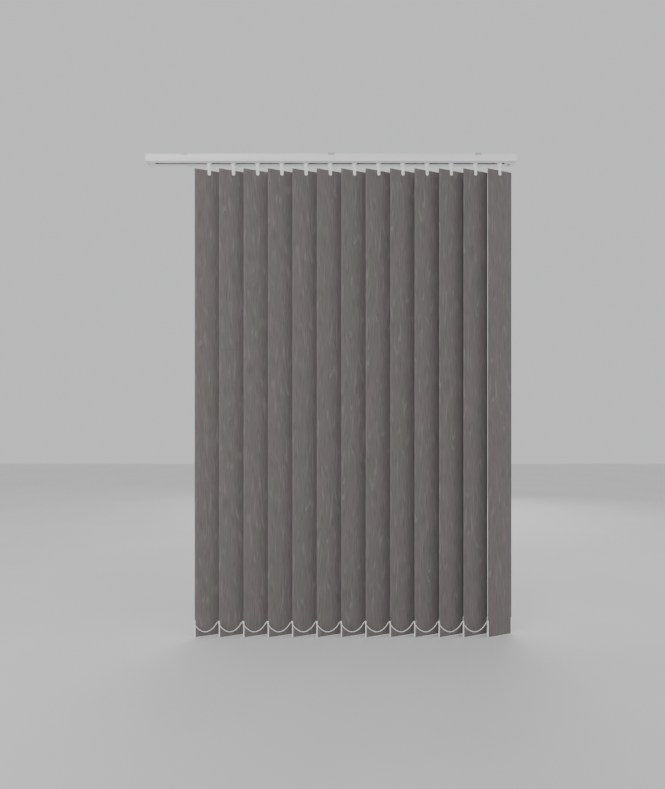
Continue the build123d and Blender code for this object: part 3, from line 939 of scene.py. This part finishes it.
@dataclass
class ChainRow:
    """The spans of bead chain along one side of the row of vanes."""

    name: str
    number_of_vanes: int
    finish: bpy.types.Material
    edge: Edge
    sizes: VaneSizes
    bead: float = 3.2 * MM
    bead_pitch: float = 4.35 * MM
    thread: float = 1.1 * MM
    stand_off: float = -20.6 * MM
    clip_height: float = 47.0 * MM
    clip_radius: float = 48.3 * MM
    stacked_pitch: float = 17.0 * MM
    open_pitch: float = 75.0 * MM
    route: tuple[tuple[float, float], ...] = (
        (-43.6 * MM, -0.3 * MM),
        (-39.0 * MM, -8.8 * MM),
        (-31.5 * MM, -18.1 * MM),
        (-21.0 * MM, -25.6 * MM),
        (-13.5 * MM, -28.9 * MM),
        (-1.9 * MM, -28.9 * MM),
        (5.6 * MM, -25.6 * MM),
        (16.1 * MM, -18.1 * MM),
        (23.6 * MM, -8.8 * MM),
        (28.2 * MM, -0.3 * MM),
    )

    def centreline(self) -> list[Vector]:
        """The smooth line of one span, about its first vane's axis on the room side."""
        height = self.sizes.bottom + self.clip_height
        curve = bpy.data.curves.new("span_route", "CURVE")
        curve.dimensions = "3D"
        curve.resolution_u = 12
        spline = curve.splines.new("NURBS")
        spline.points.add(len(self.route) - 1)
        for point, (x, z) in zip(spline.points, self.route):
            point.co = (x, self.stand_off, height + z, 1.0)
        spline.order_u = 3
        spline.use_endpoint_u = True
        holder = bpy.data.objects.new("span_route", curve)
        line = bpy.data.meshes.new_from_object(holder)
        points = [vert.co.copy() for vert in line.vertices]
        bpy.data.objects.remove(holder)
        bpy.data.meshes.remove(line)
        bpy.data.curves.remove(curve)
        return points

    def template(self, line: Sequence[Vector]) -> bpy.types.Mesh:
        """String beads on one span's centreline.

        Args:
            line: the centreline's points.

        Returns:
            Mesh data that every span copies.
        """
        length = sum((b - a).length for a, b in zip(line, line[1:]))
        count = round((length - self.bead) / self.bead_pitch) + 1
        pitch = (length - self.bead) / (count - 1)
        places = [self._along(line, self.bead / 2 + i * pitch) for i in range(count)]
        mesh = bmesh.new()
        for place in places:
            bmesh.ops.create_uvsphere(
                mesh, u_segments=10, v_segments=7, radius=self.bead / 2, matrix=Matrix.Translation(place)
            )
        for before, after in zip(places, places[1:]):
            direction = after - before
            turn = direction.to_track_quat("Z", "Y").to_matrix().to_4x4()
            bmesh.ops.create_cone(
                mesh,
                cap_ends=True,
                segments=6,
                radius1=self.thread / 2,
                radius2=self.thread / 2,
                depth=direction.length,
                matrix=Matrix.Translation((before + after) / 2) @ turn,
            )
        return finish_mesh(mesh, "chain_span", smooth_below=60.0)

    @staticmethod
    def _along(line: Sequence[Vector], distance: float) -> Vector:
        """The point at a distance along a line."""
        for before, after in zip(line, line[1:]):
            step = (after - before).length
            if distance <= step:
                return before.lerp(after, distance / step)
            distance -= step
        return line[-1].copy()

    def make(self) -> list[bpy.types.Object]:
        """Hang every span between its two clips.

        Returns:
            The spans, from the left.
        """
        line = self.centreline()
        template = self.template(line)
        axes = [self.sizes.stand(n).translation.x for n in range(1, self.number_of_vanes + 1)]
        middle = Vector(((axes[0] + axes[-1]) / 2, 0, 0))
        half_turn = Matrix.Rotation(math.pi, 4, "Z")
        half_turn = Matrix.Translation(middle) @ half_turn @ Matrix.Translation(-middle)
        side = half_turn if self.edge is Edge.WINDOW else Matrix.Identity(4)
        clip = Vector((axes[-1], 0, 0))
        reach = self.edge.value * self.clip_radius
        clip += Vector((reach * math.cos(self.sizes.tilt), reach * math.sin(self.sizes.tilt), 0))
        clip.z = self.sizes.bottom + self.clip_height
        spans = []
        for number, axis in enumerate(axes[:-1], 1):
            place = side @ Matrix.Translation((axis, 0, 0))
            data = template.copy()
            data.transform(place)
            data.update()
            span = add_piece(data, f"{self.name}_span_{number:02d}", f"{self.name}_row", self.finish)
            path = [place @ point for point in line]
            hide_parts(self.name)
            self.stacked_pitch / self.open_pitch
            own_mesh(span)
            sum((b - a).length for a, b in zip(path, path[1:]))
            spans.append(span)
        return spans


# ---------------------------------------------------------------- the whole blind


@dataclass
class Blind:
    """The blind: rail, mechanism, vanes and chains, each dressed in its finish."""

    number_of_vanes: int = 13
    sizes: VaneSizes = field(default_factory=VaneSizes)

    def __post_init__(self) -> None:
        """Build the finishes that several pieces share."""
        self.coat = PowderCoat().material()
        self.housing = MouldedPlastic("cap_plastic").material()
        fitting = MouldedPlastic(
            "fitting_plastic", colour=(0.92, 0.92, 0.92), tint=(0.88, 0.88, 0.87), roughness=0.30
        )
        self.fitting = fitting.material()
        beads = MouldedPlastic(
            "chain_plastic", colour=(0.93, 0.93, 0.93), tint=(0.90, 0.90, 0.89), roughness=0.28
        )
        self.beads = beads.material()
        self.runner = MouldedPlastic("carrier_plastic", roughness=0.42).material()
        self.gear = MouldedPlastic("worm_plastic", colour=(0.66, 0.66, 0.63), roughness=0.45).material()
        self.zinc = DrawnMetal("bracket_steel", (0.62, 0.62, 0.63), (0.52, 0.53, 0.55), 0.36).material()
        self.drawn = DrawnMetal("rod_aluminium", (0.78, 0.79, 0.80), (0.66, 0.67, 0.68), 0.30).material()

    def make_rail(self) -> None:
        """Stand rounded, finished copies of the rail, its end caps and its brackets in their places."""
        shapes = [
            ("headrail", "coated_rail", 0.35 * MM, self.coat, "rail_coating"),
            ("control_end_cap", "control_cap", 0.40 * MM, self.housing, "cap_plastic"),
            ("idler_end_cap", "idler_cap", 0.40 * MM, self.housing, "cap_plastic"),
            ("top_fix_brackets", "ceiling_clips", 0.20 * MM, self.zinc, "bracket_steel"),
        ]
        for node, name, width, material, slot in shapes:
            softened_node(node, name, width, material)
            log.info("%s: rounded by %.2f mm", name, width / MM)

    def dress_mechanism(self) -> None:
        """Give the parts inside the rail their finishes."""
        dress_node("tilt_rod", self.drawn)
        dress_node("chain_wheel", self.housing)
        for number in range(1, self.number_of_vanes + 1):
            dress_node(f"carrier_{number:02d}", self.runner)
            dress_node(f"worm_{number:02d}", self.gear)
        log.info("mechanism: %d carriers and worms dressed", self.number_of_vanes)

    def make_vanes(self) -> None:
        """Hang the vanes with their hooks, hangers and weights."""
        cloth = VaneCloth()
        vane = Vane(self.sizes, cloth.material(self.sizes), cloth.uv_name)
        hook, hanger, weight = Hook(self.sizes), Hanger(self.sizes), Weight(self.sizes)
        fittings = {
            "hook": (hook.template(), hook.softness),
            "hanger": (hanger.template(), hanger.softness),
            "weight": (weight.template(), weight.softness),
        }
        for number in range(1, self.number_of_vanes + 1):
            place, body = self.sizes.stand(number), f"louvre_{number:02d}"
            for name, (template, softness) in fittings.items():
                data = template.copy()
                data.transform(place)
                piece = add_piece(data, f"{name}_{number:02d}", body, self.fitting)
                add_bevel(piece, softness)
                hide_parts(f"vane_fittings_{number:02d}")
            strip = vane.make(number)
            flat = (self.sizes.width, self.sizes.flat_length())
        log.info("vanes: %d strips with their fittings", self.number_of_vanes)

    def make_chains(self) -> None:
        """Hang both rows of bead chain."""
        for name, edge in (("front_chain", Edge.ROOM), ("back_chain", Edge.WINDOW)):
            row = ChainRow(name, self.number_of_vanes, self.beads, edge, self.sizes)
            log.info("%s: %d spans", name, len(row.make()))


# ---------------------------------------------------------------- studio


@dataclass(frozen=True)
class Lamp:
    """One soft square lamp: where it hangs, the length of its side and its power in watts."""

    name: str
    place: tuple[float, float, float]
    size: float
    power: float

    def hang(self, aim: Sequence[float]) -> None:
        """Put the lamp into the scene, facing a point."""
        data = bpy.data.lights.new(self.name, "AREA")
        data.shape = "SQUARE"
        data.size = self.size
        data.energy = self.power
        lamp = bpy.data.objects.new(self.name, data)
        lamp.location = self.place
        lamp.visible_camera = False
        lamp.rotation_euler = (Vector(aim) - Vector(self.place)).to_track_quat("-Z", "Y").to_euler()
        bpy.context.scene.collection.objects.link(lamp)


@dataclass
class Studio:
    """A pale floor, soft light and the camera."""

    floor_gap: float = 2 * MM
    floor_size: float = 14.0
    camera_place: tuple[float, float, float] = (0.004, -1.80, -0.817)
    sensor: float = 36.0
    lens: float = 26.5
    horizon_shift: float = 0.0317
    sky: Colour = (0.90, 0.91, 0.92)
    sky_strength: float = 0.79
    aim: tuple[float, float, float] = (0.0, 0.0, -0.75)
    lamps: tuple[Lamp, ...] = (
        Lamp("key_lamp", (-1.9, -2.6, -0.3), 2.4, 55.0),
        Lamp("fill_lamp", (2.4, -2.2, -0.2), 2.4, 10.0),
        Lamp("back_lamp", (0.6, 2.8, 0.4), 2.6, 34.0),
    )

    def make_floor(self) -> None:
        """Lay the floor just below the blind."""
        height = CAD_BOX[0].z - self.floor_gap
        mesh = bmesh.new()
        place = Matrix.Translation((0, 0, height))
        bmesh.ops.create_grid(mesh, x_segments=2, y_segments=2, size=self.floor_size / 2, matrix=place)
        data = bpy.data.meshes.new("studio_floor")
        mesh.to_mesh(data)
        mesh.free()
        floor = bpy.data.objects.new("studio_floor", data)
        bpy.context.scene.collection.objects.link(floor)
        data.materials.append(StudioFloor().material())

    def make_sky(self) -> None:
        """Surround the studio with even pale light."""
        world = bpy.data.worlds.new("studio_sky")
        bpy.context.scene.world = world
        world.use_nodes = True
        background = world.node_tree.nodes["Background"]
        background.inputs["Color"].default_value = (*self.sky, 1.0)
        background.inputs["Strength"].default_value = self.sky_strength

    def make_camera(self) -> None:
        """Set the camera level in front of the blind."""
        data = bpy.data.cameras.new("camera")
        data.sensor_width = self.sensor
        data.lens = self.lens
        data.shift_y = self.horizon_shift
        camera = bpy.data.objects.new("camera", data)
        camera.location = self.camera_place
        camera.rotation_euler = (math.radians(90), 0, 0)
        bpy.context.scene.collection.objects.link(camera)
        bpy.context.scene.camera = camera

    def make(self) -> None:
        """Build the studio."""
        self.make_camera()
        self.make_floor()
        self.make_sky()
        for lamp in self.lamps:
            lamp.hang(self.aim)


def main() -> None:
    """Build the studio and the blind in order."""
    studio, blind = Studio(), Blind()
    steps: list[tuple[str, Callable[[], None]]] = [
        ("studio", studio.make),
        ("rail", blind.make_rail),
        ("mechanism", blind.dress_mechanism),
        ("vanes", blind.make_vanes),
        ("chains", blind.make_chains),
    ]
    for name, build in steps:
        build()
        log.info("%s done", name)


if __name__ == "__main__":
    main()
